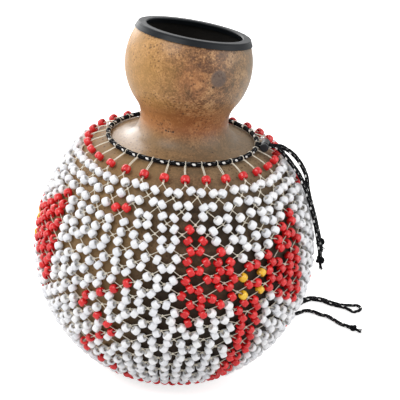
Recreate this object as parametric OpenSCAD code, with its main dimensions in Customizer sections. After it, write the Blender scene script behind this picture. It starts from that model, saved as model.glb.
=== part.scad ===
// A shekere: a dried gourd rattle inside a knotted net of pony beads.
// The middle of the foot is at the origin, up is +Z and the front is -Y.

/* [Gourd] */
// Radius of the big lower bulb
body_r = 123.5; // [120:0.5:127]
// How far behind the middle line the centre of the flank's curve lies
set_back = 20; // [18:0.5:22]
// Turn above the widest line where the flank gives way to the shoulder
shoulder_turn = 39.9; // [39:0.1:41]
// Radius of the shoulder's curve
shoulder_r = 45; // [44:0.5:46]
// Radius at the narrowest place
waist_r = 39.9; // [38:0.1:42]
// Radius of the hollow curve below the waist
under_waist_r = 20.6; // [18:0.1:24]
// Radius of the hollow curve above the waist
over_waist_r = 27; // [24:0.5:30]
// Radius of the small upper bulb
bulb_r = 57; // [54:0.5:60]
// Thickness of the dried wall
wall_t = 4; // [3:0.5:5]
// Radius of the flat the gourd rests on
foot_r = 24; // [20:1:28]
// Height of the mouth's cut above the middle of the upper bulb
mouth_rise = 27.3; // [24:0.1:29]
// Lean of the mouth's cut to the right
mouth_tilt = 5.7; // [2:0.1:10]
// Lean of the mouth's cut to the back
mouth_back = 5.4; // [2:0.1:8]

/* [Mouth rim] */
// Thickness of the rim's two legs
rim_t = 1.1; // [0.9:0.1:1.4]
// How far the legs reach below the cut
rim_drop = 2.6; // [2:0.1:4]
// Height of the rounded edge on top of the cut
rim_cap_t = 2.4; // [2.2:0.1:3]

/* [Net] */
// Radius of a pony bead
bead_r = 4.4; // [4.2:0.1:4.4]
// Length of a pony bead along its hole
bead_len = 6; // [5.6:0.1:6]
// Bevel round both ends of a bead
bead_bevel = 1.4; // [1.4:0.05:1.6]
// Radius of a bead's hole
hole_r = 1.9; // [1.8:0.05:2]
// Radius of the net's string
string_r = 0.4; // [0.3:0.05:0.45]
// Gap between a bead and the gourd
bead_gap = 0.3; // [0.3:0.05:0.5]
// How much nearer to the gourd the middle rows' knots hang than the beads
string_hang = 0.8; // [0.6:0.1:1]
// Turn above the widest line of the net's first knots
top_turn = 45.8; // [45:0.1:46.5]
// Turn below the widest line that ends the net
hem_turn = 59; // [58.8:0.1:60]

/* [Cords] */
// Radius of the black cord
cord_r = 1.6; // [1.4:0.05:1.6]
// Gap between the cords and the gourd
cord_gap = 1.3; // [1.3:0.1:1.5]
// Turn above the widest line of the collar cord
collar_turn = 74.95; // [74.5:0.05:75.4]
// Turn below the widest line of the base cord
base_turn = 67.93; // [67.6:0.01:68]
// Radius of the knot in the base cord
base_knot_r = 3.8; // [3.6:0.1:3.8]
// Radius of the knots that end the tails
tail_knot_r = 3.4; // [3:0.1:3.8]

/* [Cord lock] */
// Radius of the lock's barrel
barrel_r = 3.9; // [3.8:0.05:4]
// Radius of the plunger in the barrel
plunger_r = 2.75; // [2.6:0.05:2.8]
// How far the button goes in
button_travel = 1.5; // [1:0.1:1.5]
// How far the lock slides outward along the cord
lock_travel = 4; // [3:0.5:4]

/* [Hidden] */

degree = PI / 180;
overrun = 1;
span = 2 * body_r;

// Gourd: the outline's arcs meet tangent to each other
body_z = sqrt(pow(body_r, 2) - pow(foot_r, 2));
flank_r = body_r + set_back;
shoulder_x = (flank_r - shoulder_r) * cos(shoulder_turn) - set_back;
shoulder_z = body_z + (flank_r - shoulder_r) * sin(shoulder_turn);
under_x = waist_r + under_waist_r;
over_x = waist_r + over_waist_r;
waist_z = shoulder_z + sqrt(pow(shoulder_r + under_waist_r, 2) - pow(under_x - shoulder_x, 2));
bulb_z = waist_z + sqrt(pow(bulb_r + over_waist_r, 2) - pow(over_x, 2));
under_dir = [under_x - shoulder_x, waist_z - shoulder_z] / (shoulder_r + under_waist_r);
over_dir = [over_x, waist_z - bulb_z] / (bulb_r + over_waist_r);

// Mouth rim: a channel pushed over the cut edge, its top round standing a little proud
rim_fit = 0.2;
rim_out_r = bulb_r + rim_fit + rim_t;
rim_in_r = bulb_r - wall_t - rim_fit - rim_t;
cap_round = rim_cap_t / 2;
cap_z = mouth_rise + rim_fit + cap_round;
cap_lip = 0.15;

// Net: rows of knots run down the gourd by equal lengths of string
bead_lift = bead_r + bead_gap;
pitch_share = 3.05;
columns = round(PI * (body_r + bead_lift) / (pitch_share * bead_r));
half_turn = 180 / columns;
net_start = 3.3;
string_share = 1.151;
string_len = string_share * PI * (body_r + bead_lift) / columns;
flank_run = shoulder_turn * degree * (flank_r + bead_lift);
top_run = run_at(top_turn);
knot_runs = [for (run = top_run; turn_at(run) > -hem_turn; run = next_run(run)) run];
rows = len(knot_runs) - 1;
rows_per_strings = ceil((rows + 1) / 5);
rows_per_whites = ceil((rows - 1) / 8);
knot_r = 0.95;
knot_waist_r = 0.5;
knot_half = 1.2;
knot_trim = 1.45;
side_gap = 0.2;
close_gap = 0.05;
touch = bead_r + side_gap;
close = bead_r + close_gap;
stagger_share = 0.3;
hem_slip = 0.6;
spread_rows = 4;

// Bead pattern, in half columns from the net's start
repeat = 20;
bow_mid = 5;
bow_row = 9;
bow_half = 4.5;
tail_top = 10;
spot_row = 3;
spot_mid = 15;
zigzag = [16.5, 15.5, 14.5, 13.5, 13.5, 14.5, 15.5, 15.5, 14.5, 13.5, 12.5, 12.5, 13.5, 14.5, 15.5];

// Collar and base
cord_lift = cord_r + cord_gap;
collar = skin(collar_turn, cord_lift);
base = skin(-base_turn, cord_lift);
hitch_gap = 0.15;
string_end_gap = 0.1;
hitch_r = cord_r + string_r + hitch_gap;
hitch_out = hitch_r + string_r + string_end_gap;
hitch_side = 0.5;
ring_rise = 5.4;
ring_run = top_run + ring_rise;
ring_turn = turn_at(ring_run);
bend_rise = 0.6;
bend_dip = 0.6;
bend_swell = 0.05;
low_end_gap = 0.3;
ring_top_run = ring_run + bead_len / 2 + bend_rise;
string_low_lift = bead_lift - bend_dip;
ring_top_side = 0.55;
ring_low_side = 0.45;

// Ends of the two cords: a bend outward, a climb and a straight run
pair_gap = 0.2;
cord_spread = cord_r + pair_gap;
cord_swell = 0.1;
collar_bend_r = 3;
climb = 38;
level_r = 3.4;
climb_h = collar_bend_r * sin(climb) + level_r * (1 - cos(climb));
lock_column = 2 * round(columns / 5) + 1;
lock_around = net_start + lock_column * half_turn;
lock_out = 7.45;
slot_fit = 0.35;
end_gap = 0.7;
lock_x = collar[0] + lock_out;
slot_side = cord_spread + cord_r + slot_fit;
slot_up = cord_r + slot_fit;
collar_end = lock_x + barrel_r + lock_travel + end_gap;
base_bend_r = 2.6;
base_column = 2 * round(columns / 3) - 1 + rows % 2;
base_around = net_start + base_column * half_turn;
base_knot_out = 10;
base_knot_x = base[0] + base_knot_out;
wrap_share = 7 / 4;
wrap_pitch = wrap_share * cord_r;
exit_out = 3;
exit_x = base_knot_x + exit_out;
exit_side = 1.9;
exit_low_z = 2.1;
exit_high_z = 5.4;
base_lead = 3;

// Cord lock, measured from the cords toward its button
lock_fit = 0.2;
lock_wall = 0.85;
spring_room = 1;
barrel_floor = 0.8;
plunger_low = -slot_side - lock_wall;
bore_low = plunger_low - button_travel - spring_room;
barrel_low = bore_low - barrel_floor;
barrel_top = slot_side + lock_wall;
head_gap = 0.1;
head_low = barrel_top + button_travel + head_gap;
head_t = 3;
head_r = barrel_r;
barrel_round = 1.8;
head_round = 1;
spring_wire_r = 0.2;
spring_turns = 3;
spring_gap = 0.05;
spring_steps = 8;
spring_sides = 6;
spring_fit = 0.4;
spring_r = plunger_r - spring_wire_r - spring_fit;

// Free cords: middle lines placed by hand along the table and down the beads
cord_sides = 8;
ring_gap = 6 * cord_r;
leg_rings = 3;
collar_lead = 2;
near_route = [[91, -14.6, 228], [99, -14.8, 219.5], [108, -15.2, 208.5], [114.5, -15.6, 197],
    [120.6, -16, 183], [126.8, -16.4, 166], [131.5, -16.8, 150], [135, -17.2, 137], [136.5, -17.4, 128]];
far_route = [[91, -10.8, 232], [101, -11, 226], [109, -11.2, 217], [115, -11.4, 206],
    [118, -11.4, 193], [122.4, -11.2, 180], [127.5, -10.8, 166], [132, -10.2, 152], [135, -9.6, 143]];
loop_route = [[69, 53, 2], [100, 87, 2], [124, 116, 2], [141, 138.5, 2], [149, 146, 2],
    [157, 148.4, 2], [167, 146, 2], [177.5, 139.5, 2], [187, 136.4, 2], [196, 137, 2],
    [203.5, 137.5, 2], [206.5, 132, 2], [203, 125, 2], [197.5, 122.5, 2], [193, 127, 2],
    [186, 131.6, 2], [176, 134.6, 2], [165.5, 141.6, 2], [156, 143.4, 2], [150.5, 141.5, 2],
    [143.5, 134.5, 2], [127, 113, 2], [103, 83, 2], [73, 49, 2]];
tail_route = [[73, 43, 2], [104, 75, 2], [128, 100, 2], [142, 113.5, 2], [149, 116.5, 2],
    [155.5, 114, 2], [161, 110, 2], [168, 107.5, 2], [173.5, 102, 2], [178, 96, 2],
    [182.5, 91.5, 2], [188, 88.5, 2], [192.5, 85.5, 2]];
floor_lift = 2;
floor_gap = 0.5;
tip_t = 5;
tip_r = 2.2;

gourd_colour = [0.72, 0.5, 0.22];
black_colour = [0.05, 0.05, 0.05];
string_colour = [0.85, 0.8, 0.68];
white_colour = [0.92, 0.93, 0.94];
red_colour = [0.8, 0.05, 0.05];
yellow_colour = [0.95, 0.75, 0.1];
steel_colour = [0.6, 0.6, 0.6];

// Places on the gourd's surface lifted by a gap: [radius, height] at a turn above the widest line
function skin(turn, lift) =
    turn <= 0 ? (body_r + lift) * [cos(turn), sin(turn)] + [0, body_z]
    : turn <= shoulder_turn ? (flank_r + lift) * [cos(turn), sin(turn)] + [-set_back, body_z]
    : (shoulder_r + lift) * [cos(turn), sin(turn)] + [shoulder_x, shoulder_z];
function round_at(at, around) = [at[0] * sin(around), -at[0] * cos(around), at[1]];
function place(turn, around, lift) = round_at(skin(turn, lift), around);
function outward(turn, around) = [cos(turn) * sin(around), -cos(turn) * cos(around), sin(turn)];
function uphill(turn, around) = [-sin(turn) * sin(around), sin(turn) * cos(around), cos(turn)];
function sideways(around) = [cos(around), sin(around), 0];
function unit(v) = v / norm(v);

// Length of the curve from the widest line to a turn, at the beads' lift, and back
function run_at(turn) =
    turn <= 0 ? turn * degree * (body_r + bead_lift)
    : turn <= shoulder_turn ? turn * degree * (flank_r + bead_lift)
    : flank_run + (turn - shoulder_turn) * degree * (shoulder_r + bead_lift);
function turn_at(run) =
    run <= 0 ? run / degree / (body_r + bead_lift)
    : run <= flank_run ? run / degree / (flank_r + bead_lift)
    : shoulder_turn + (run - flank_run) / degree / (shoulder_r + bead_lift);

// Half the distance between neighbouring knots, and how far one length of string falls
function half_pitch(run) = PI * skin(turn_at(run), bead_lift)[0] / columns;
function drop(run) = sqrt(pow(string_len, 2) - pow(half_pitch(run), 2));
function next_run(run) = run - drop(run - drop(run) / 2);

// Knots stand in every second half column
function knot_lift(k) = k <= 1 || k >= rows - 1 ? bead_lift : bead_lift - string_hang;
function knot_around(c) = net_start + c * half_turn;
function knot_at(k, c) = place(turn_at(knot_runs[k]), knot_around(c), knot_lift(k));

// The two strings that rise from knot c of row k go to the knots on either side above it
function low_knot(k, j) = j % 2 == k % 2 ? j : j + 1;
function lean(k, j) = j % 2 == k % 2 ? 1 : -1;
function strand_low(k, j) = knot_at(k, low_knot(k, j));
function strand_high(k, j) = knot_at(k - 1, low_knot(k, j) + lean(k, j));

// Share of the string's length at which a bead hangs: near the lower knot in the top
// rows, near the upper one further down, and staggered where neighbours would touch
function row_pitch(k) = (half_pitch(knot_runs[k]) + half_pitch(knot_runs[k - 1])) / 2;
function low_share(k) = touch / row_pitch(k);
function high_share(k) = max(1 / 2, 1 - low_share(k));
function rise_share(k) = min(1, max(0, (k - 2) / spread_rows));
function mid_share(k) = low_share(k) + (high_share(k) - low_share(k)) * rise_share(k);
function step_share(k) = min(stagger_share,
    sqrt(max(0, pow(2 * close, 2) - pow(row_pitch(k), 2))) / (knot_runs[k - 1] - knot_runs[k]));
function bead_share(k, j) = mid_share(k) + lean(k, j) * step_share(k) / 2;
function bead_turn(k, j) =
    turn_at(knot_runs[k] + (knot_runs[k - 1] - knot_runs[k]) * bead_share(k, j));
function bead_around(k, j) = knot_around(low_knot(k, j) + lean(k, j) * bead_share(k, j));
function slip(k, j) = k < rows ? [0, 0, 0]
    : hem_slip * unit(cross(outward(bead_turn(k, j), bead_around(k, j)),
        strand_high(k, j) - strand_low(k, j)));
function bead_at(k, j) = place(bead_turn(k, j), bead_around(k, j), bead_lift) + slip(k, j);

// Colour of the bead in row k and half column j
function beside(j, mid) = abs((j + 1 / 2) % repeat - mid);
function bow_index(j) = 1 + floor(j / repeat);
function is_bow(k, j) = beside(j, bow_mid) <= bow_half && abs(k - bow_row) <= beside(j, bow_mid) + 1 / 2;
function paint(k, j) =
    k == rows ? "hem"
    : beside(j, bow_mid) == 1 / 2 && (k == bow_row || k == bow_row + 2) ? "yellow"
    : is_bow(k, j) ? str("bow", bow_index(j))
    : beside(j, bow_mid) == 1 / 2 && k >= tail_top ? "tail"
    : beside(j, spot_mid) == 1 / 2 && k == spot_row ? "spot"
    : k >= tail_top && k < tail_top + len(zigzag) && beside(j, zigzag[k - tail_top]) == 0 ? "zigzag"
    : str("white", ceil(k / rows_per_whites));

// Middle line of a free cord: a smooth curve through its places
function leg_count(a, b) = max(1, min(leg_rings, round(norm(b - a) / ring_gap)));
function curve(a, b, c, d, t) = b + (c - a) * t / 2 + (2 * a - 5 * b + 4 * c - d) * t * t / 2
    + (3 * (b - c) + d - a) * t * t * t / 2;
function smooth(p) = let (n = len(p) - 1) concat([for (i = [0:n - 1])
    let (m = leg_count(p[i], p[i + 1])) for (j = [0:m - 1])
        curve(p[max(0, i - 1)], p[i], p[i + 1], p[min(n, i + 2)], j / m)], [p[n]]);
function walls(count, sides) = [for (i = [0:count - 2], j = [0:sides - 1])
    let (a = i * sides + j, b = i * sides + (j + 1) % sides)
        each [[a, b, b + sides], [a, b + sides, a + sides]]];
function heading(p, i) = unit(p[min(len(p) - 1, i + 1)] - p[max(0, i - 1)]);
function ring_points(at, along, side) = let (u = unit(cross(along, side)), v = cross(u, along))
    [for (i = [0:cord_sides - 1]) let (a = i * 360 / cord_sides) at + cord_r * (u * cos(a) + v * sin(a))];

// Starts of the free cords, face to face with the collar cord's ends or inside the base knot
function turned(at, around) = [at[0] * cos(around) - at[1] * sin(around),
    at[0] * sin(around) + at[1] * cos(around), at[2]];
function lock_place(x, y) = turned([x, y, collar[1] + climb_h], lock_around - 90);
function exit_place(x, y, z) = turned([x, y, z], base_around - 90);
near_tail = concat([lock_place(collar_end, -cord_spread),
    lock_place(collar_end + collar_lead, -cord_spread)], near_route);
far_tail = concat([lock_place(collar_end, cord_spread),
    lock_place(collar_end + collar_lead, cord_spread)], far_route);
loop_tail = concat([exit_place(exit_x, exit_side, exit_low_z),
    exit_place(exit_x + base_lead, exit_side, exit_low_z)], loop_route,
    [exit_place(exit_x + base_lead, 0, exit_high_z), exit_place(exit_x, 0, exit_high_z)]);
floor_tail = concat([exit_place(exit_x, -exit_side, exit_low_z),
    exit_place(exit_x + base_lead, -exit_side, exit_low_z)], tail_route);

// Stands a piece drawn along +Z at p so that it points along v
module along(p, v) {
    translate(p)
        rotate([0, acos(v[2] / norm(v)), atan2(v[1], v[0])])
            children();
}

// Round string from p to q, shortened at both ends
module string_piece(p, q, low_trim, high_trim) {
    d = norm(q - p);
    along(p + (q - p) * low_trim / d, q - p)
        cylinder(h = d - low_trim - high_trim, r = string_r, $fn = 24);
}

// Slice of a disc about c between two directions
module sector(c, r, a0, a1) {
    intersection() {
        translate(c)
            circle(r = r, $fn = 180);
        polygon([c, c + 2 * r * [cos(a0), sin(a0)], c + 2 * r * [cos(a1), sin(a1)]]);
    }
}

// Hollow between the two bulbs, from the shoulder to the upper bulb
module waist(t) {
    difference() {
        polygon([[0, body_z],
            [shoulder_x, shoulder_z] + (shoulder_r - t) * [cos(shoulder_turn), sin(shoulder_turn)],
            [shoulder_x, shoulder_z] + (shoulder_r - t) * under_dir,
            [0, bulb_z] + (bulb_r - t) * over_dir, [0, bulb_z]]);
        translate([under_x, waist_z])
            circle(r = under_waist_r + t, $fn = 180);
        intersection() {
            translate([over_x, waist_z])
                circle(r = over_waist_r + t, $fn = 180);
            translate([0, waist_z])
                square(span);
        }
    }
}

// Half outline of the gourd, drawn in by t
module outline(t) {
    intersection() {
        translate([0, -span / 2])
            square(2 * span);
        union() {
            intersection() {
                translate([0, body_z])
                    circle(r = body_r - t, $fn = 180);
                translate([0, body_z - span])
                    square(span);
            }
            sector([-set_back, body_z], flank_r - t, 0, shoulder_turn);
            sector([shoulder_x, shoulder_z], shoulder_r - t, shoulder_turn,
                atan2(under_dir[1], under_dir[0]));
            translate([0, bulb_z])
                circle(r = bulb_r - t, $fn = 180);
            waist(t);
        }
    }
}

// Puts what is drawn about the upper bulb's middle square to the mouth's cut
module at_mouth() {
    translate([0, 0, bulb_z])
        rotate([-mouth_back, 0, 0])
            rotate([0, mouth_tilt, 0])
                children();
}

module gourd_shell() {
    color(gourd_colour)
        difference() {
            rotate_extrude($fn = 180)
                difference() {
                    outline(0);
                    outline(wall_t);
                }
            translate([-span, -span, -span])
                cube([2 * span, 2 * span, span]);
            at_mouth()
                translate([-span, -span, mouth_rise])
                    cube([2 * span, 2 * span, span]);
        }
}

// One leg of the rim, between two balls about the middle of the upper bulb
module rim_leg(outer_r, inner_r, top) {
    intersection() {
        difference() {
            circle(r = outer_r, $fn = 180);
            circle(r = inner_r, $fn = 180);
        }
        translate([0, mouth_rise - rim_drop])
            square([span, top - mouth_rise + rim_drop]);
    }
}

module mouth_rim() {
    cap_in = sqrt(pow(rim_in_r, 2) - pow(cap_z, 2)) + cap_round;
    cap_out = sqrt(pow(rim_out_r, 2) - pow(cap_z, 2)) - cap_round + cap_lip;
    color(black_colour)
        at_mouth()
            rotate_extrude($fn = 180) {
                rim_leg(rim_out_r, bulb_r + rim_fit, cap_z + cap_round / 2);
                rim_leg(bulb_r - wall_t - rim_fit, rim_in_r, cap_z - cap_round / 2);
                translate([cap_in, cap_z - cap_round])
                    square([cap_out - cap_in, rim_cap_t]);
                translate([cap_in, cap_z])
                    circle(r = cap_round, $fn = 48);
                translate([cap_out, cap_z])
                    circle(r = cap_round, $fn = 48);
            }
}

// A pony bead about its own middle, its hole along Z
module bead() {
    h = bead_len / 2;
    rotate_extrude($fn = 48)
        polygon([[hole_r, -h], [bead_r - bead_bevel, -h], [bead_r, bead_bevel - h],
            [bead_r, h - bead_bevel], [bead_r - bead_bevel, h], [hole_r, h]]);
}

// Every bead of one colour
module beads(name, first, last) {
    for (k = [first:last], j = [0:2 * columns - 1])
        if (paint(k, j) == name)
            along(bead_at(k, j), strand_high(k, j) - strand_low(k, j))
                bead();
}

module net_knot(k, c) {
    along(knot_at(k, c), uphill(turn_at(knot_runs[k]), knot_around(c)))
        rotate_extrude($fn = 24)
            polygon([[0, -knot_half], [knot_waist_r, -knot_half], [knot_r, 0],
                [knot_waist_r, knot_half], [0, knot_half]]);
}

// A fifth of the net's rows: its knots and the strings that rise from them
module net_strings(i) {
    first = (i - 1) * rows_per_strings;
    last = min(rows, i * rows_per_strings - 1);
    color(string_colour)
        for (k = [first:last]) {
            for (c = [k % 2:2:2 * columns - 1])
                net_knot(k, c);
            if (k > 0)
                for (j = [0:2 * columns - 1])
                    string_piece(strand_low(k, j), strand_high(k, j), knot_trim, knot_trim);
        }
}

// Loop of string hitched round a cord
module hitch(at, around) {
    translate(at)
        rotate([0, 0, around - 90])
            rotate([90, 0, 0])
                rotate_extrude($fn = 48)
                    translate([hitch_r, 0])
                        circle(r = string_r, $fn = 24);
}

// Round cord ring about Z, open toward +X, with both ends bent outward and led up to x = out_x
module cord_ring(ring_x, bend_r, climb_turn, level, out_x) {
    open = asin((cord_spread + bend_r) / ring_x);
    bend_x = ring_x * cos(open);
    rotate_extrude(angle = 360 - 2 * open, start = open, $fn = 180)
        translate([ring_x, 0])
            circle(r = cord_r, $fn = 32);
    for (side = [-1, 1]) {
        translate([bend_x, side * (cord_spread + bend_r), 0]) {
            sphere(r = cord_r + cord_swell, $fn = 32);
            rotate([0, -climb_turn, 0])
                translate([bend_r, 0, 0])
                    rotate_extrude(angle = 90, start = side > 0 ? 180 : 90, $fn = 96)
                        translate([bend_r, 0])
                            circle(r = cord_r, $fn = 32);
        }
        turn_end = [bend_x + bend_r * cos(climb_turn), side * cord_spread, bend_r * sin(climb_turn)];
        climb_end = turn_end + level * [sin(climb_turn), 0, 1 - cos(climb_turn)];
        if (climb_turn > 0) {
            translate(turn_end)
                sphere(r = cord_r + cord_swell, $fn = 32);
            translate(climb_end)
                sphere(r = cord_r + cord_swell, $fn = 32);
            along(turn_end, climb_end - turn_end)
                cylinder(h = norm(climb_end - turn_end), r = cord_r, $fn = 32);
        }
        along(climb_end, [1, 0, 0])
            cylinder(h = out_x - climb_end[0], r = cord_r, $fn = 32);
    }
}

module collar_cord() {
    color(black_colour)
        translate([0, 0, collar[1]])
            rotate([0, 0, lock_around - 90])
                cord_ring(collar[0], collar_bend_r, climb, level_r, collar_end);
}

module base_cord() {
    color(black_colour)
        translate([0, 0, base[1]])
            rotate([0, 0, base_around - 90])
                cord_ring(base[0], base_bend_r, 0, 0, base_knot_x);
}

module collar_hitches() {
    side_turn = hitch_side / degree / collar[0];
    color(string_colour)
        for (c = [0:2:2 * columns - 1], side = [-1, 1])
            hitch(round_at(collar, knot_around(c) + side * side_turn), knot_around(c) + side * side_turn);
}

module base_hitches() {
    color(string_colour)
        for (c = [rows % 2:2:2 * columns - 1])
            hitch(round_at(base, knot_around(c)), knot_around(c));
}

// Pairs of strings from the collar cord down through the ring beads to the first knots
module collar_strings() {
    start_turn = collar_turn - hitch_out / degree / (shoulder_r + cord_lift);
    color(string_colour)
        for (c = [0:2:2 * columns - 1], side = [-1, 1]) {
            aside = side * sideways(knot_around(c));
            start = place(start_turn, knot_around(c), cord_lift) + hitch_side * aside;
            bend = place(turn_at(ring_top_run), knot_around(c), string_low_lift) + ring_top_side * aside;
            end_turn = turn_at(top_run + knot_half + low_end_gap);
            end = place(end_turn, knot_around(c), bead_lift) + ring_low_side * aside;
            string_piece(start, bend, 0, 0);
            string_piece(bend, end, 0, 0);
            translate(bend)
                sphere(r = string_r + bend_swell, $fn = 24);
        }
}

// Single strings from the last knots down to the base cord
module base_strings() {
    color(string_colour)
        for (c = [rows % 2:2:2 * columns - 1])
            string_piece(round_at(base, knot_around(c)), knot_at(rows, c), hitch_out, knot_trim);
}

module ring_beads() {
    color(red_colour)
        for (c = [0:2:2 * columns - 1])
            along(place(ring_turn, knot_around(c), bead_lift), uphill(ring_turn, knot_around(c)))
                bead();
}

// Knot of wound cord, its middle at the origin and the cord along Z
module wound_knot(r, wraps) {
    rotate_extrude($fn = 64) {
        for (i = [0:wraps - 1])
            translate([r - cord_r, (i - (wraps - 1) / 2) * wrap_pitch])
                circle(r = cord_r, $fn = 32);
        translate([0, -(wraps - 1) / 2 * wrap_pitch - cord_r / 2])
            square([r - cord_r, (wraps - 1) * wrap_pitch + cord_r]);
    }
}

module base_knot() {
    color(black_colour)
        translate([0, 0, base[1]])
            rotate([0, 0, base_around - 90])
                translate([base_knot_x, 0, 0])
                    rotate([0, 90, 0])
                        wound_knot(base_knot_r, 3);
}

// Knot and frayed tip that end a tail, led on from its last place
module end_knot(route, tail) {
    p = smooth(route);
    n = len(p) - 1;
    v = unit(p[n] - p[n - 1]);
    along(p[n] + v * cord_r, v) {
        wound_knot(tail_knot_r, 2);
        cylinder(h = tail, r1 = cord_r, r2 = tip_r, $fn = 32);
    }
}

// Free cord along its places
module free_cord(route, side) {
    p = smooth(route);
    n = len(p);
    points = [for (i = [0:n - 1]) each ring_points(p[i], heading(p, i), side)];
    first = [for (j = [cord_sides - 1:-1:0]) j];
    last = [for (j = [0:cord_sides - 1]) (n - 1) * cord_sides + j];
    polyhedron(points = points, faces = concat([first], walls(n, cord_sides), [last]));
}

module collar_tail_1() {
    color(black_colour)
        free_cord(near_tail, [0, 1, 0]);
}

module collar_tail_2() {
    color(black_colour)
        free_cord(far_tail, [0, 1, 0]);
}

module collar_tail_knot_1() {
    color(black_colour)
        end_knot(near_tail, tip_t + tail_knot_r);
}

module collar_tail_knot_2() {
    color(black_colour)
        end_knot(far_tail, tip_t + tail_knot_r);
}

module base_loop() {
    color(black_colour)
        free_cord(loop_tail, [0, 0, 1]);
}

module base_tail() {
    color(black_colour)
        free_cord(floor_tail, [0, 0, 1]);
}

module base_tail_knot() {
    lift = tail_knot_r + floor_gap - floor_lift;
    color(black_colour)
        translate([0, 0, lift])
            end_knot(floor_tail, tip_t + tail_knot_r);
}

// Puts the lock's own frame on the cords: X outward, Y up and Z toward the button
module on_cords() {
    translate([0, 0, collar[1]])
        rotate([0, 0, lock_around - 90])
            translate([lock_x, 0, climb_h])
                rotate([90, 0, 0])
                    children();
}

// Half outline of a round bar with its corners rounded at either end
module bar_outline(r, low, high, low_round, high_round) {
    translate([0, low + low_round])
        square([r, high - low - low_round - high_round]);
    translate([0, low])
        square([r - low_round, low_round + overrun]);
    translate([0, high - high_round - overrun])
        square([r - high_round, high_round + overrun]);
    translate([r - low_round, low + low_round])
        circle(r = low_round, $fn = 48);
    translate([r - high_round, high - high_round])
        circle(r = high_round, $fn = 48);
}

module lock_barrel() {
    color(steel_colour)
        on_cords()
            difference() {
                rotate_extrude($fn = 96)
                    difference() {
                        bar_outline(barrel_r, barrel_low, barrel_top, barrel_round, lock_fit);
                        translate([0, bore_low])
                            square([plunger_r + lock_fit, barrel_top - bore_low + overrun]);
                    }
                translate([-barrel_r - overrun, -slot_up, -slot_side])
                    cube([2 * (barrel_r + overrun), 2 * slot_up, 2 * slot_side]);
            }
}

module lock_button() {
    color(black_colour)
        on_cords()
            difference() {
                rotate_extrude($fn = 96) {
                    translate([0, plunger_low])
                        square([plunger_r, head_low - plunger_low + overrun]);
                    bar_outline(head_r, head_low, head_low + head_t, lock_fit, head_round);
                }
                translate([-barrel_r - overrun, -slot_up, -slot_side])
                    cube([2 * (barrel_r + overrun), 2 * slot_up, 2 * slot_side + button_travel]);
            }
}

// Coil between the barrel's floor and the plunger, its wire swept with a few sides
module lock_spring() {
    low = bore_low + spring_gap + spring_wire_r;
    rise = plunger_low - bore_low - 2 * (spring_gap + spring_wire_r);
    count = spring_turns * spring_steps;
    line = [for (i = [0:count]) let (a = i * 360 / spring_steps)
        [spring_r * cos(a), spring_r * sin(a), low + rise * i / count]];
    points = [for (i = [0:count], j = [0:spring_sides - 1])
        let (a = i * 360 / spring_steps, b = j * 360 / spring_sides)
            line[i] + spring_wire_r * [cos(a) * cos(b), sin(a) * cos(b), sin(b)]];
    first = [for (j = [0:spring_sides - 1]) j];
    last = [for (j = [spring_sides - 1:-1:0]) count * spring_sides + j];
    color(steel_colour)
        on_cords()
            polyhedron(points = points, faces = concat([first], [for (w = walls(count + 1, spring_sides))
                [w[2], w[1], w[0]]], [last]));
}

// White beads of one band of rows
module white_rows(i) {
    color(white_colour)
        beads(str("white", i), 1 + (i - 1) * rows_per_whites, min(rows - 1, i * rows_per_whites));
}

module hem_beads() {
    color(red_colour)
        beads("hem", rows, rows);
}

module bow_beads_1() {
    color(red_colour)
        beads("bow1", bow_row - bow_half - 1 / 2, bow_row + bow_half + 1 / 2);
}

module bow_beads_2() {
    color(red_colour)
        beads("bow2", bow_row - bow_half - 1 / 2, bow_row + bow_half + 1 / 2);
}

module bow_beads_3() {
    color(red_colour)
        beads("bow3", bow_row - bow_half - 1 / 2, bow_row + bow_half + 1 / 2);
}

module yellow_beads() {
    color(yellow_colour)
        beads("yellow", bow_row, bow_row + 2);
}

module tail_beads() {
    color(red_colour)
        beads("tail", tail_top, rows - 1);
}

module zigzag_beads() {
    color(red_colour)
        beads("zigzag", tail_top, rows - 1);
}

module spot_beads() {
    color(red_colour)
        beads("spot", spot_row, spot_row);
}

module white_beads_1() {
    white_rows(1);
}

module white_beads_2() {
    white_rows(2);
}

module white_beads_3() {
    white_rows(3);
}

module white_beads_4() {
    white_rows(4);
}

module white_beads_5() {
    white_rows(5);
}

module white_beads_6() {
    white_rows(6);
}

module white_beads_7() {
    white_rows(7);
}

module white_beads_8() {
    white_rows(8);
}

module net_strings_1() {
    net_strings(1);
}

module net_strings_2() {
    net_strings(2);
}

module net_strings_3() {
    net_strings(3);
}

module net_strings_4() {
    net_strings(4);
}

module net_strings_5() {
    net_strings(5);
}

gourd_shell();
mouth_rim();
collar_cord();
collar_hitches();
collar_strings();
net_strings_1();
net_strings_2();
net_strings_3();
net_strings_4();
net_strings_5();
base_strings();
base_hitches();
base_cord();
base_knot();
ring_beads();
hem_beads();
bow_beads_1();
bow_beads_2();
bow_beads_3();
yellow_beads();
tail_beads();
zigzag_beads();
spot_beads();
white_beads_1();
white_beads_2();
white_beads_3();
white_beads_4();
white_beads_5();
white_beads_6();
white_beads_7();
white_beads_8();
collar_tail_1();
collar_tail_2();
collar_tail_knot_1();
collar_tail_knot_2();
base_loop();
base_tail();
base_tail_knot();
lock_barrel();
lock_spring();
lock_button();
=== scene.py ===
# Looks of the shekere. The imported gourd, rim and cord lock get materials. The beads, string,
# cords and the lock's spring are rebuilt in fine mesh where their solids are.
# Lengths are in mm, and become metres where a mesh or a place is handed to Blender.
import bpy, math, random
import numpy as np
from mathutils import Vector, Matrix


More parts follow.
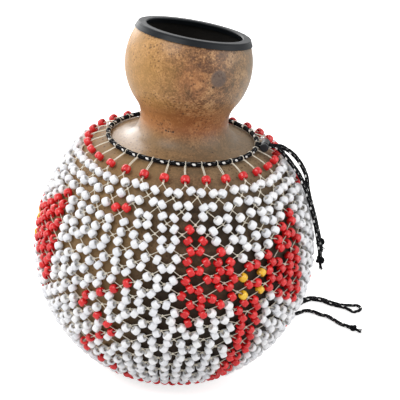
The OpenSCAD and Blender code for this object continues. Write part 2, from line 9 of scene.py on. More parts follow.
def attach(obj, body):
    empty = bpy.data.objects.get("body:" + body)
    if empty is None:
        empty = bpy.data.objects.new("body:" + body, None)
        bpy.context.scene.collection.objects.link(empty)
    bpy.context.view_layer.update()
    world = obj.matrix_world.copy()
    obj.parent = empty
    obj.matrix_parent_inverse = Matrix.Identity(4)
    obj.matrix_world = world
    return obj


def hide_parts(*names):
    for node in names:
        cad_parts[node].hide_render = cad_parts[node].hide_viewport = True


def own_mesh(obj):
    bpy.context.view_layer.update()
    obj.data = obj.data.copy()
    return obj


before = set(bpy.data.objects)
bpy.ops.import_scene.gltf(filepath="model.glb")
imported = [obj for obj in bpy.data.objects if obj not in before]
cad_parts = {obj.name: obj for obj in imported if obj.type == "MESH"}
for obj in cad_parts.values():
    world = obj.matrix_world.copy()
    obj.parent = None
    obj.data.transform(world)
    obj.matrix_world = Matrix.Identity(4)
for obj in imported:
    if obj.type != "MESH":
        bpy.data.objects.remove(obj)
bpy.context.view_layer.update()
MM = 0.001

# ---------------------------------------------------------------- camera
body_r, foot_r = 123.5, 24.0
body_z = math.sqrt(body_r ** 2 - foot_r ** 2)
CAM_DIST, CAM_ELEV, CAM_ROLL = 1200.0, math.radians(25.07), math.radians(4.58)
VIEW_PX, SENSOR_MM = 400, 36.0
F_PX, C_X, C_Y = 1266.67, 174.22, 245.1  # focal length and centre, in pixels of a 400-pixel view
cam_data = bpy.data.cameras.new("cam")
cam = bpy.data.objects.new("cam", cam_data)
bpy.context.scene.collection.objects.link(cam)
bpy.context.scene.camera = cam
fwd = Vector((0, math.cos(CAM_ELEV), -math.sin(CAM_ELEV)))
right = Vector((1, 0, 0))
up = right.cross(fwd)
rolled_right = right * math.cos(CAM_ROLL) + up * math.sin(CAM_ROLL)
rolled_up = rolled_right.cross(fwd)
rot = Matrix((rolled_right, rolled_up, -fwd)).transposed()
looked_at = Vector((0, 0, body_z * MM))
cam.matrix_world = Matrix.Translation(looked_at - fwd * CAM_DIST * MM) @ rot.to_4x4()
cam_data.sensor_width = SENSOR_MM
cam_data.lens = F_PX / VIEW_PX * SENSOR_MM
cam_data.shift_x = (VIEW_PX / 2 - C_X) / VIEW_PX
cam_data.shift_y = (C_Y - VIEW_PX / 2) / VIEW_PX
cam_data.clip_start, cam_data.clip_end = 0.05, 20


# ---------------------------------------------------------------- net geometry
def sd(a): return math.sin(math.radians(a))
def cd(a): return math.cos(math.radians(a))


set_back, shoulder_turn, shoulder_r = 20.0, 39.9, 45.0
bead_r, bead_len, string_r = 4.4, 6.0, 0.4
bead_gap, string_hang, top_turn, hem_turn = 0.3, 0.8, 45.8, 59.0
degree = math.pi / 180
flank_r = body_r + set_back
shoulder_x = (flank_r - shoulder_r) * cd(shoulder_turn) - set_back
shoulder_z = body_z + (flank_r - shoulder_r) * sd(shoulder_turn)
bead_lift = bead_r + bead_gap
columns, net_start = 30, 3.3
half_turn = 180 / columns
string_len = 1.151 * math.pi * (body_r + bead_lift) / columns
flank_run = shoulder_turn * degree * (flank_r + bead_lift)


def skin(t, l):
    """Radius and height, l above the gourd's skin where it faces t degrees up."""
    if t <= 0:
        return (body_r + l) * cd(t), (body_r + l) * sd(t) + body_z
    if t <= shoulder_turn:
        return (flank_r + l) * cd(t) - set_back, (flank_r + l) * sd(t) + body_z
    return (shoulder_r + l) * cd(t) + shoulder_x, (shoulder_r + l) * sd(t) + shoulder_z


def round_at(at, a): return np.array([at[0] * sd(a), -at[0] * cd(a), at[1]])
def place(t, a, l): return round_at(skin(t, l), a)
def outward(t, a): return np.array([cd(t) * sd(a), -cd(t) * cd(a), sd(t)])
def uphill(t, a): return np.array([-sd(t) * sd(a), sd(t) * cd(a), cd(t)])
def sideways(a): return np.array([cd(a), sd(a), 0.0])
def unit(v): return v / np.linalg.norm(v)


def run_at(t):
    """Length along the beads' skin from the gourd's widest place up to turn t."""
    if t <= 0:
        return t * degree * (body_r + bead_lift)
    if t <= shoulder_turn:
        return t * degree * (flank_r + bead_lift)
    return flank_run + (t - shoulder_turn) * degree * (shoulder_r + bead_lift)


def turn_at(r):
    if r <= 0:
        return r / degree / (body_r + bead_lift)
    if r <= flank_run:
        return r / degree / (flank_r + bead_lift)
    return shoulder_turn + (r - flank_run) / degree / (shoulder_r + bead_lift)


def half_pitch(r): return math.pi * skin(turn_at(r), bead_lift)[0] / columns
def drop(r): return math.sqrt(string_len ** 2 - half_pitch(r) ** 2)


runs, run = [], run_at(top_turn)
while turn_at(run) > -hem_turn:
    runs.append(run)
    run = run - drop(run - drop(run) / 2)
rows = len(runs) - 1


def knot_lift(k): return bead_lift if (k <= 1 or k >= rows - 1) else bead_lift - string_hang
def knot_around(c): return net_start + c * half_turn
def knot_at(k, c): return place(turn_at(runs[k]), knot_around(c), knot_lift(k))
# Row k has a length of string in each half column j, from its knot up to a knot of row k - 1.
def low_knot(k, j): return j if j % 2 == k % 2 else j + 1
def lean(k, j): return 1 if j % 2 == k % 2 else -1
def strand_low(k, j): return knot_at(k, low_knot(k, j))
def strand_high(k, j): return knot_at(k - 1, low_knot(k, j) + lean(k, j))
def row_pitch(k): return (half_pitch(runs[k]) + half_pitch(runs[k - 1])) / 2


KNOT_ROOM, PAIR_ROOM, MOST_STEP = 0.2, 0.1, 0.3
FIRST_ROWS, BLEND_ROWS = 2, 4  # beads sit low on the first rows and reach the middle over the next
HEM_OUT = 0.6


def mid_share(k):
    low = (bead_r + KNOT_ROOM) / row_pitch(k)
    return low + (max(0.5, 1 - low) - low) * min(1, max(0, (k - FIRST_ROWS) / BLEND_ROWS))


def step_share(k):
    """How far neighbours step apart where the columns are closer than two beads."""
    apart = math.sqrt(max(0, (2 * bead_r + PAIR_ROOM) ** 2 - row_pitch(k) ** 2))
    return min(MOST_STEP, apart / (runs[k - 1] - runs[k]))


def bead_share(k, j): return mid_share(k) + lean(k, j) * step_share(k) / 2


def bead_at(k, j):
    share = bead_share(k, j)
    turn = turn_at(runs[k] + (runs[k - 1] - runs[k]) * share)
    around = knot_around(low_knot(k, j) + lean(k, j) * share)
    p = place(turn, around, bead_lift)
    if k == rows:
        p = p + HEM_OUT * unit(np.cross(outward(turn, around), strand_high(k, j) - strand_low(k, j)))
    return p, outward(turn, around)


# Half column, of the 20 in which the pattern repeats, that is red in rows 10 to 24.
ZIGZAG = [16.5, 15.5, 14.5, 13.5, 13.5, 14.5, 15.5, 15.5, 14.5, 13.5, 12.5, 12.5, 13.5, 14.5, 15.5]


def paint(k, j):
    """Name of the group that the bead of row k and half column j belongs to."""
    u = (j + 0.5) % 20
    m = abs(u - 5)
    if k == rows:
        return "hem"
    if m == 0.5 and k in (9, 11):
        return "yellow"
    if m <= 4.5 and abs(k - 9) <= m + 0.5:
        return "bow%d" % (1 + j // 20)
    if m == 0.5 and k >= 10:
        return "tail"
    if abs(u - 15) == 0.5 and k == 3:
        return "spot"
    if 10 <= k < 25 and u == ZIGZAG[k - 10]:
        return "zigzag"
    return "white%d" % math.ceil(k / 3)


# ---------------------------------------------------------------- mesh helpers
def frame_to(v, hint=None):
    """3x3 whose columns are x, y and z, with z along v."""
    z = unit(np.asarray(v, float))
    h = np.array([0.0, 0.0, 1.0]) if hint is None else np.asarray(hint, float)
    x = np.cross(h, z)
    if np.linalg.norm(x) < 1e-6:
        x = np.cross([0.0, 1.0, 0.0], z)
    x = unit(x)
    return np.column_stack([x, np.cross(z, x), z])


class Build:
    """Gathers many small closed forms, in mm, into one mesh."""

    def __init__(self):
        self.v, self.f, self.uv, self.tone, self.n = [], [], [], [], 0

    def add(self, verts, faces, uvs=None, tone=0.5):
        self.v.append(verts)
        self.f += [tuple(i + self.n for i in f) for f in faces]
        self.uv.append(np.zeros((len(verts), 2)) if uvs is None else uvs)
        self.tone.append(np.full(len(verts), tone))
        self.n += len(verts)

    def make(self, name, material, body, slot, nodes=()):
        me = bpy.data.meshes.new(name)
        co = np.concatenate(self.v) * MM
        me.from_pydata([tuple(p) for p in co], [], self.f)
        uv = np.concatenate(self.uv)
        layer = me.uv_layers.new(name="along")
        idx = np.empty(len(me.loops), dtype=np.int32)
        me.loops.foreach_get("vertex_index", idx)
        layer.data.foreach_set("uv", uv[idx].astype(np.float32).ravel())
        att = me.attributes.new("tone", "FLOAT", "POINT")
        att.data.foreach_set("value", np.concatenate(self.tone).astype(np.float32))
        me.polygons.foreach_set("use_smooth", np.ones(len(me.polygons), dtype=bool))
        me.materials.append(material)
        me.update()
        ob = bpy.data.objects.new(name, me)
        bpy.context.scene.collection.objects.link(ob)
        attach(ob, body)
        if nodes:
            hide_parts(*nodes)
        return ob


def revolve(profile, sides):
    """Closed ring of points turned about z. The profile is closed on itself."""
    n = len(profile)
    verts, uvs = [], []
    for i in range(sides):
        a = 2 * math.pi * i / sides
        for j, (r, z) in enumerate(profile):
            verts.append((r * math.cos(a), r * math.sin(a), z))
            uvs.append((i / sides, j / n))
    faces = []
    for i in range(sides):
        for j in range(n):
            a, b = i * n + j, i * n + (j + 1) % n
            c, d = ((i + 1) % sides) * n + (j + 1) % n, ((i + 1) % sides) * n + j
            faces.append((a, d, c, b))
    return np.array(verts), faces, np.array(uvs)


def tube(points, radius, sides, closed=False, taper=None):
    """Tube along points, with u in mm along it and v from 0 to 1 round it. Capped unless closed."""
    p = np.asarray(points, float)
    n = len(p)
    t = np.roll(p, -1, 0) - np.roll(p, 1, 0)
    if not closed:
        t[0], t[-1] = p[1] - p[0], p[-1] - p[-2]
    t /= np.linalg.norm(t, axis=1)[:, None]
    u = np.empty_like(p)
    x = np.cross(t[0], [0.0, 0.0, 1.0])
    if np.linalg.norm(x) < 1e-3:
        x = np.cross(t[0], [0.3, 1.0, 0.1])
    u[0] = unit(x)
    for i in range(1, n):
        w = u[i - 1] - t[i] * (u[i - 1] @ t[i])
        u[i] = unit(w)
    if closed:
        # spread the leftover twist over the whole ring
        w = u[-1] - t[0] * (u[-1] @ t[0])
        gap = math.atan2(np.dot(np.cross(u[0], unit(w)), t[0]), np.dot(u[0], unit(w)))
        for i in range(n):
            a = -gap * i / n
            u[i] = u[i] * math.cos(a) + np.cross(t[i], u[i]) * math.sin(a)
    v = np.cross(t, u)
    step = np.linalg.norm(np.diff(p, axis=0), axis=1)
    at = np.concatenate([[0], np.cumsum(step)])
    verts, uvs = [], []
    for i in range(n):
        r = radius if taper is None else radius * taper[i]
        for j in range(sides):
            a = 2 * math.pi * j / sides
            verts.append(p[i] + r * (u[i] * math.cos(a) + v[i] * math.sin(a)))
            uvs.append((at[i], j / sides))
    faces = []
    for i in range(n if closed else n - 1):
        k = (i + 1) % n
        for j in range(sides):
            m = (j + 1) % sides
            faces.append((i * sides + j, i * sides + m, k * sides + m, k * sides + j))
    if not closed:
        faces.append(tuple(range(sides))[::-1])
        faces.append(tuple((n - 1) * sides + j for j in range(sides)))
    return np.array(verts), faces, np.array(uvs)


def ball(c, r, half_length, axis, rough, rng, sides=8, rings=6):
    """Small round knot with an uneven surface."""
    m = frame_to(axis)
    verts, faces = [(0, 0, -half_length)], []
    for i in range(1, rings):
        a = -math.pi / 2 + math.pi * i / rings
        for j in range(sides):
            b = 2 * math.pi * j / sides
            k = 1 + rng.uniform(-rough, rough)
            verts.append((r * k * math.cos(a) * math.cos(b), r * k * math.cos(a) * math.sin(b),
                          half_length * math.sin(a)))
    verts.append((0, 0, half_length))
    for j in range(sides):
        faces.append((0, 1 + (j + 1) % sides, 1 + j))
    for i in range(rings - 2):
        for j in range(sides):
            a, b = 1 + i * sides + j, 1 + i * sides + (j + 1) % sides
            faces.append((a, b, b + sides, a + sides))
    last = len(verts) - 1
    for j in range(sides):
        faces.append((last - sides + j, last - sides + (j + 1) % sides, last))
    return np.array(verts) @ m.T + np.asarray(c), faces


# ---------------------------------------------------------------- cords
cord_r, cord_gap, collar_turn, base_turn = 1.6, 1.3, 74.95, 67.93
cord_lift = cord_r + cord_gap
collar, base = skin(collar_turn, cord_lift), skin(-base_turn, cord_lift)
cord_spread, collar_bend_r, climb, level_r = cord_r + 0.2, 3.0, 38, 3.4
climb_h = collar_bend_r * sd(climb) + level_r * (1 - cd(climb))
lock_around, base_around = net_start + 13 * half_turn, net_start + 20 * half_turn
lock_x = collar[0] + 7.45
lock_half, lock_travel, lock_room = 3.9, 4, 0.7
collar_end = lock_x + lock_half + lock_travel + lock_room
base_knot_x = base[0] + 10


def turned(at, around):
    return np.array([at[0] * cd(around) - at[1] * sd(around), at[0] * sd(around) + at[1] * cd(around), at[2]])


def lock_place(x, y, z=0): return turned((x, y, collar[1] + climb_h + z), lock_around - 90)
def exit_place(x, y, z): return turned((x, y, z), base_around - 90)


NEAR = [[91, -14.6, 228], [99, -14.8, 219.5], [108, -15.2, 208.5], [114.5, -15.6, 197],
        [120.6, -16, 183], [126.8, -16.4, 166], [131.5, -16.8, 150], [135, -17.2, 137], [136.5, -17.4, 128]]
FAR = [[91, -10.8, 232], [101, -11, 226], [109, -11.2, 217], [115, -11.4, 206],
       [118, -11.4, 193], [122.4, -11.2, 180], [127.5, -10.8, 166], [132, -10.2, 152], [135, -9.6, 143]]
LOOP = [[69, 53, 2], [100, 87, 2], [124, 116, 2], [141, 138.5, 2], [149, 146, 2], [157, 148.4, 2],
        [167, 146, 2], [177.5, 139.5, 2], [187, 136.4, 2], [196, 137, 2], [203.5, 137.5, 2],
        [206.5, 132, 2], [203, 125, 2], [197.5, 122.5, 2], [193, 127, 2], [186, 131.6, 2],
        [176, 134.6, 2], [165.5, 141.6, 2], [156, 143.4, 2], [150.5, 141.5, 2], [143.5, 134.5, 2],
        [127, 113, 2], [103, 83, 2], [73, 49, 2]]
TAIL = [[73, 43, 2], [104, 75, 2], [128, 100, 2], [142, 113.5, 2], [149, 116.5, 2], [155.5, 114, 2],
        [161, 110, 2], [168, 107.5, 2], [173.5, 102, 2], [178, 96, 2], [182.5, 91.5, 2],
        [188, 88.5, 2], [192.5, 85.5, 2]]
near_route = [lock_place(collar_end, -cord_spread), lock_place(collar_end + 2, -cord_spread)] + NEAR
far_route = [lock_place(collar_end, cord_spread), lock_place(collar_end + 2, cord_spread)] + FAR
loop_route = [exit_place(base_knot_x + 3, 1.9, 2.1), exit_place(base_knot_x + 6, 1.9, 2.1)] + LOOP + \
    [exit_place(base_knot_x + 6, 0, 5.4), exit_place(base_knot_x + 3, 0, 5.4)]
tail_route = [exit_place(base_knot_x + 3, -1.9, 2.1), exit_place(base_knot_x + 6, -1.9, 2.1)] + TAIL


def smooth_line(pts, gap=1.2):
    """Catmull-Rom through the places, a point about every gap mm."""
    p = [np.asarray(q, float) for q in pts]
    out = []
    for i in range(len(p) - 1):
        a, b, c, d = p[max(0, i - 1)], p[i], p[i + 1], p[min(len(p) - 1, i + 2)]
        n = max(2, int(np.linalg.norm(c - b) / gap))
        for s in range(n):
            t = s / n
            out.append(b + (c - a) * t / 2 + (2 * a - 5 * b + 4 * c - d) * t * t / 2
                       + (3 * (b - c) + d - a) * t ** 3 / 2)
    out.append(p[-1])
    return np.array(out)


LINE_GAP = 1.2


def ring_line(ring, bend_r, climb_turn, level, out_x, around, z0):
    """Middle line of a cord ring with both ends bent outward: from one end, round, to the other."""
    gap_turn = math.degrees(math.asin((cord_spread + bend_r) / ring))
    bx = ring * cd(gap_turn)
    half = []
    half.append([out_x, cord_spread, bend_r * sd(climb_turn) + level * (1 - cd(climb_turn))])
    x1 = bx + bend_r * cd(climb_turn) + level * sd(climb_turn)
    n = int((out_x - x1) / LINE_GAP)
    for i in range(1, n):
        half.append([out_x + (x1 - out_x) * i / n, cord_spread, half[0][2]])
    if climb_turn > 0:
        for i in range(5):
            a = climb_turn * i / 4
            half.append([bx + bend_r * cd(climb_turn) + level * (sd(climb_turn) - sd(a)), cord_spread,
                         bend_r * sd(climb_turn) + level * (cd(a) - cd(climb_turn))])
    for i in range(1, 9):
        a = 90 * (1 - i / 8)
        f = bend_r * (1 - cd(a))
        half.append([bx + f * cd(climb_turn), cord_spread + bend_r * (1 - sd(a)), f * sd(climb_turn)])
    mirror = [[p[0], -p[1], p[2]] for p in reversed(half)]
    n = int(ring * math.radians(360 - 2 * gap_turn) / LINE_GAP)
    circle = [[ring * cd(gap_turn + (360 - 2 * gap_turn) * i / n),
               ring * sd(gap_turn + (360 - 2 * gap_turn) * i / n), 0] for i in range(1, n)]
    pts = half + circle + mirror
    return np.array([turned((p[0], p[1], p[2] + z0), around - 90) for p in pts])


# ---------------------------------------------------------------- materials
class Mat:
    """Small helper to write a node tree."""

    def __init__(self, name, base, rough, spec=0.5):
        self.m = bpy.data.materials.new(name)
        self.m.use_nodes = True
        self.t = self.m.node_tree
        self.b = self.t.nodes["Principled BSDF"]
        self.b.inputs["Base Color"].default_value = (*base, 1)
        self.b.inputs["Roughness"].default_value = rough
        self.b.inputs["Specular IOR Level"].default_value = spec

    def node(self, kind, **props):
        n = self.t.nodes.new(kind)
        for k, v in props.items():
            if k in n.inputs.keys():
                n.inputs[k].default_value = v
            else:
                setattr(n, k, v)
        return n

    def link(self, a, b):
        self.t.links.new(a, b)

    def math(self, op, a, b=None, c=None):
        n = self.t.nodes.new("ShaderNodeMath")
        n.operation = op
        for i, x in enumerate((a, b, c)):
            if x is None:
                continue
            if isinstance(x, (int, float)):
                n.inputs[i].default_value = x
            else:
                self.link(x, n.inputs[i])
        return n.outputs[0]

    def mix(self, fac, a, b):
        n = self.t.nodes.new("ShaderNodeMix")
        n.data_type = "RGBA"
        for sock, x in ((n.inputs[0], fac), (n.inputs[6], a), (n.inputs[7], b)):
            if isinstance(x, (int, float)):
                sock.default_value = x
            elif isinstance(x, tuple):
                sock.default_value = (*x, 1)
            else:
                self.link(x, sock)
        return n.outputs[2]

    def ramp(self, fac, stops):
        n = self.t.nodes.new("ShaderNodeValToRGB")
        e = n.color_ramp.elements
        while len(e) < len(stops):
            e.new(0.5)
        for el, (pos, col) in zip(e, stops):
            el.position, el.color = pos, (*col, 1)
        self.link(fac, n.inputs[0])
        return n.outputs[0]

    def noise(self, scale, detail=4.0, rough=0.55, vec=None, distort=0.0):
        n = self.node("ShaderNodeTexNoise", Scale=scale, Detail=detail, Roughness=rough, Distortion=distort)
        self.link(vec if vec is not None else self.coord(), n.inputs["Vector"])
        return n.outputs[0]

    def coord(self):
        if not hasattr(self, "_c"):
            self._c = self.node("ShaderNodeTexCoord").outputs["Object"]
        return self._c

    def bump(self, height, strength, distance):
        n = self.node("ShaderNodeBump", Strength=strength, Distance=distance)
        self.link(height, n.inputs["Height"])
        self.link(n.outputs[0], self.b.inputs["Normal"])
        return n


def bead_material(name, colour, low, high):
    """Glossy moulded plastic: a slight change of tone from bead to bead and faint flow marks."""
    m = Mat(name, colour, 0.2)
    tone = m.node("ShaderNodeAttribute", attribute_name="tone")
    flow = m.noise(220.0, 2.0)
    k = m.math("MULTIPLY_ADD", flow, 0.25, m.math("MULTIPLY", tone.outputs["Fac"], 0.75))
    m.link(m.ramp(k, [(0.15, low), (0.85, high)]), m.b.inputs["Base Color"])
    m.link(m.math("MULTIPLY_ADD", m.noise(600.0, 2.0), 0.12, 0.14), m.b.inputs["Roughness"])
    m.bump(m.noise(900.0, 2.0), 0.12, 0.0002)
    return m.m


TWINE_LAY, BRAID_PITCH, BRAID_YARNS = 0.9, 4.2, 3.0
FLECK_PITCH, FLECK_ROUND, FLECK_LONG, FLECK_WIDE, FLECK_LEAN = 13.6, 10.5, 1.6, 0.9, -0.3


def string_material():
    """Cream twisted twine with some grime."""
    m = Mat("twine", (0.78, 0.72, 0.58), 0.42)
    uv = m.node("ShaderNodeUVMap", uv_map="along").outputs[0]
    sep = m.node("ShaderNodeSeparateXYZ")
    m.link(uv, sep.inputs[0])
    twist = m.math("ADD", m.math("DIVIDE", sep.outputs[0], TWINE_LAY), sep.outputs[1])
    lay = m.math("SINE", m.math("MULTIPLY", twist, 4 * math.pi))
    k = m.math("MULTIPLY_ADD", lay, 0.25, 0.5)
    grime = m.noise(60.0, 3.0)
    col = m.mix(m.math("MULTIPLY", grime, 0.5), (0.9, 0.86, 0.76), (0.72, 0.63, 0.46))
    m.link(m.mix(k, (0.7, 0.63, 0.5), col), m.b.inputs["Base Color"])
    m.bump(lay, 0.5, 0.0001)
    return m.m


def cord_material(name="braid", flecks=True):
    """Black braid: plaited yarns, and short white flecks of a tracer that winds round it."""
    m = Mat(name, (0.008, 0.008, 0.01), 0.5, 0.04)
    uv = m.node("ShaderNodeUVMap", uv_map="along").outputs[0]
    sep = m.node("ShaderNodeSeparateXYZ")
    m.link(uv, sep.inputs[0])
    u, v = sep.outputs[0], sep.outputs[1]
    along, across = m.math("DIVIDE", u, BRAID_PITCH), m.math("MULTIPLY", v, BRAID_YARNS)
    a = m.math("SINE", m.math("MULTIPLY", m.math("ADD", along, across), 2 * math.pi))
    b = m.math("SINE", m.math("MULTIPLY", m.math("SUBTRACT", along, across), 2 * math.pi))
    weave = m.math("MAXIMUM", a, b)

    def centred(x, size):
        """Place in a repeat of this size, in mm from its middle."""
        return m.math("MULTIPLY", m.math("SUBTRACT", m.math("FRACT", x), 0.5), size)

    def squared(x, size):
        return m.math("POWER", m.math("DIVIDE", m.math("ABSOLUTE", x), size), 2.0)

    fleck = None
    for i in range(3 if flecks else 0):
        du = centred(m.math("ADD", m.math("DIVIDE", u, FLECK_PITCH), i / 3), FLECK_PITCH)
        dv = centred(m.math("ADD", v, i / 3 + 0.1), FLECK_ROUND)
        lean_dv = m.math("MULTIPLY_ADD", du, FLECK_LEAN, dv)
        one = m.math("LESS_THAN", m.math("ADD", squared(du, FLECK_LONG), squared(lean_dv, FLECK_WIDE)), 1.0)
        fleck = one if fleck is None else m.math("MAXIMUM", fleck, one)
    fuzz = m.noise(900.0, 3.0)
    dark = m.mix(m.math("MULTIPLY_ADD", weave, 0.4, 0.4), (0.002, 0.002, 0.0025), (0.014, 0.014, 0.016))
    if flecks:
        dark = m.mix(fleck, dark, m.mix(fuzz, (0.8, 0.8, 0.78), (0.95, 0.95, 0.93)))
    m.link(dark, m.b.inputs["Base Color"])
    m.link(m.math("MULTIPLY_ADD", fuzz, 0.2, 0.6), m.b.inputs["Roughness"])
    m.bump(m.math("ADD", weave, m.math("MULTIPLY", fuzz, 0.3)), 0.7, 0.0004)
    return m.m


def fibre_material():
    """Loose black fibres of a frayed end."""
    m = Mat("fray", (0.015, 0.015, 0.018), 0.6, 0.1)
    m.link(m.mix(m.noise(700.0, 2.0), (0.003, 0.003, 0.004), (0.03, 0.03, 0.033)), m.b.inputs["Base Color"])
    m.bump(m.noise(2500.0, 2.0), 0.3, 0.0001)
    return m.m


neck_r, neck_bend_r, bulb_r, bulb_bend_r = 39.9, 20.6, 57, 27
waist_z = shoulder_z + math.sqrt((shoulder_r + neck_bend_r) ** 2 - (neck_r + neck_bend_r - shoulder_x) ** 2)
bulb_z = waist_z + math.sqrt((bulb_r + bulb_bend_r) ** 2 - (neck_r + bulb_bend_r) ** 2)
SKIN_TONES = [(0.43, (0.05, 0.02, 0.01)), (0.475, (0.14, 0.06, 0.026)), (0.51, (0.28, 0.128, 0.052)),
              (0.55, (0.43, 0.222, 0.095)), (0.61, (0.58, 0.35, 0.165))]
OCHRE, ORANGE, OLIVE, NECK_RED = (0.64, 0.35, 0.1), (0.5, 0.2, 0.07), (0.37, 0.285, 0.175), (0.44, 0.15, 0.05)
# SHADE and BELLY darken the gourd under the net, as its own dark brown and as painted shade there
STAIN, DULL, SHADE = (0.115, 0.058, 0.032), (0.17, 0.122, 0.07), (0.02, 0.012, 0.008)
BELLY, SCAR, FRECKLE, PIT = (0.016, 0.011, 0.008), (0.1, 0.078, 0.07), (0.06, 0.028, 0.015), (0.02, 0.012, 0.008)
INSIDE_DARK, INSIDE_PALE = (0.006, 0.006, 0.006), (0.02, 0.017, 0.014)
# Marks on the skin, in mm, with the radius of each pit.
GLOW_AT, STAIN_AT, SCAR_AT = (1, -57, 301), (14, -52, 316), (26.7, -50.3, 303.5)
PITS_AT = (((22.2, -52.3, 296.2), 1.3), ((-1.5, -47.2, 268.6), 1.1), ((-15.2, -36.9, 248.5), 1.1),
           ((-13.0, -37.7, 248.1), 0.9), ((-8.8, -39.0, 248.4), 1.1))


def gourd_material():
    """Varnished dried gourd: ochre on the left, peppered brown in the middle, greyer on the right,
    dark brown low down under the net, deepened there by painted shade, and a near-black inside."""
    m = Mat("gourd", (0.3, 0.15, 0.07), 0.35)
    c = m.coord()
    sep = m.node("ShaderNodeSeparateXYZ")
    m.link(c, sep.inputs[0])
    x, y, z = sep.outputs
    big = m.noise(9.0, 5.0, 0.6, distort=0.8)
    cloud = m.noise(28.0, 8.0, 0.68, distort=0.5)
    fine = m.noise(130.0, 6.0, 0.75)
    pepper = m.noise(620.0, 3.0, 0.7)
    tone = m.math("ADD", m.math("MULTIPLY", cloud, 0.36),
                  m.math("ADD", m.math("MULTIPLY", fine, 0.30), m.math("MULTIPLY", pepper, 0.34)))
    col = m.ramp(tone, SKIN_TONES)

    def smooth(v, low, high):
        """0 at low and 1 at high, eased between them. low may be the greater."""
        n = m.node("ShaderNodeMapRange", interpolation_type="SMOOTHSTEP")
        n.inputs["From Min"].default_value, n.inputs["From Max"].default_value = low, high
        m.link(v, n.inputs["Value"])
        return n.outputs[0]

    def near(p, inner, outer):
        """1 within inner mm of a place and 0 beyond outer."""
        d = m.node("ShaderNodeVectorMath", operation="DISTANCE")
        m.link(c, d.inputs[0])
        d.inputs[1].default_value = tuple(q * MM for q in p)
        return smooth(d.outputs["Value"], outer * MM, inner * MM)

    def both(a, b):
        return m.math("MULTIPLY", a, b)

    def tint(under, where, strength, colour):
        return m.mix(m.math("MULTIPLY", where, strength), under, colour)

    def cells(scale):
        n = m.node("ShaderNodeTexVoronoi", Scale=scale, Randomness=1.0)
        m.link(c, n.inputs["Vector"])
        return n.outputs["Distance"]

    wander = m.math("MULTIPLY_ADD", cloud, 0.05, m.math("ADD", x, -0.025))
    left, right = smooth(wander, 0.012, -0.045), smooth(wander, 0.012, 0.06)
    col = tint(col, left, 0.56, OCHRE)
    col = tint(col, both(near(GLOW_AT, 6.0, 26.0), smooth(cloud, 0.38, 0.6)), 0.55, ORANGE)
    col = tint(col, right, 0.56, OLIVE)
    col = tint(col, both(near(STAIN_AT, 10.0, 36.0), smooth(fine, 0.62, 0.4)), 0.6, STAIN)
    # redder where the bulb draws in to the neck
    low = both(smooth(z, (waist_z + 30) * MM, (waist_z + 12) * MM),
               smooth(z, (waist_z - 14) * MM, (waist_z + 2) * MM))
    col = m.mix(both(low, m.math("MULTIPLY_ADD", right, -0.3, 0.5)), col, NECK_RED)
    # duller on the shoulder; under the net the gourd is dark brown, with painted shade between the beads that
    # darkens towards the bottom
    shoulder = smooth(z, (waist_z + 2) * MM, (waist_z - 14) * MM)
    col = tint(col, shoulder, 0.66, DULL)
    middle = smooth(m.math("MULTIPLY_ADD", big, 0.06, x), -0.04, 0.03)
    # painted shade under the net, over a darker gourd: the middle darkens in patches, and more towards the
    # bottom
    under = both(both(smooth(z, 0.222, 0.2), smooth(big, 0.62, 0.44)), middle)
    col = tint(col, under, 0.86, SHADE)
    col = m.mix(both(smooth(z, 0.2, 0.1), m.math("MULTIPLY_ADD", middle, 0.75, 0.15)), col, BELLY)
    # scar, freckles and pits
    col = m.mix(both(near(SCAR_AT, 6.0, 9.0), m.math("MULTIPLY_ADD", fine, 0.9, 0.3)), col, SCAR)
    spot = both(smooth(cells(300.0), 0.36, 0.2), smooth(cloud, 0.44, 0.56))
    dust = both(smooth(cells(620.0), 0.32, 0.18), smooth(fine, 0.48, 0.6))
    freckles = m.math("MAXIMUM", m.math("MULTIPLY", spot, 0.62), m.math("MULTIPLY", dust, 0.5))
    col = m.mix(freckles, col, FRECKLE)
    pit = smooth(cells(38.0), 0.05, 0.02)
    for at, r in PITS_AT:
        pit = m.math("MAXIMUM", pit, near(at, r * 0.6, r * 1.2))
    col = tint(col, pit, 0.85, PIT)
    # the inner face looks toward the axis
    geo = m.node("ShaderNodeNewGeometry")
    above = m.math("GREATER_THAN", z, waist_z * MM)
    centre_z = m.math("MULTIPLY_ADD", above, (bulb_z - body_z) * MM, body_z * MM)
    off = m.node("ShaderNodeCombineXYZ")
    m.link(x, off.inputs[0])
    m.link(y, off.inputs[1])
    m.link(m.math("SUBTRACT", z, centre_z), off.inputs[2])
    dotp = m.node("ShaderNodeVectorMath", operation="DOT_PRODUCT")
    m.link(off.outputs[0], dotp.inputs[0])
    m.link(geo.outputs["Normal"], dotp.inputs[1])
    inner = m.math("LESS_THAN", dotp.outputs["Value"], -0.004)
    # the inside gets a near-black colour
    inside_colour = m.mix(m.noise(120.0, 6.0, 0.7), INSIDE_DARK, INSIDE_PALE)
    m.link(m.mix(inner, col, inside_colour), m.b.inputs["Base Color"])
    # varnish: most on the left of the shoulder, rubbed dull under the net and none inside
    worn = m.math("MAXIMUM", inner, m.math("MULTIPLY", smooth(z, 0.233, 0.226), 0.92))
    satin = m.math("MULTIPLY_ADD", fine, 0.25, 0.3)
    m.link(m.math("MULTIPLY_ADD", worn, 0.3, satin), m.b.inputs["Roughness"])
    polished = m.math("MULTIPLY_ADD", smooth(x, -0.022, -0.036), m.math("MULTIPLY", shoulder, 0.9),
                      m.math("MULTIPLY_ADD", shoulder, -0.17, 0.25))
    m.link(both(m.math("SUBTRACT", 1.0, worn), polished), m.b.inputs["Coat Weight"])
    m.b.inputs["Coat Roughness"].default_value = 0.21
    m.b.inputs["Specular IOR Level"].default_value = 0.22
    grain = m.math("ADD", m.math("MULTIPLY", fine, 0.18), m.math("MULTIPLY", pit, -0.4))
    relief = m.bump(m.math("ADD", m.math("MULTIPLY", cloud, 0.7), grain), 0.5, 0.0014)
    m.link(relief.outputs[0], m.b.inputs["Coat Normal"])
    return m.m


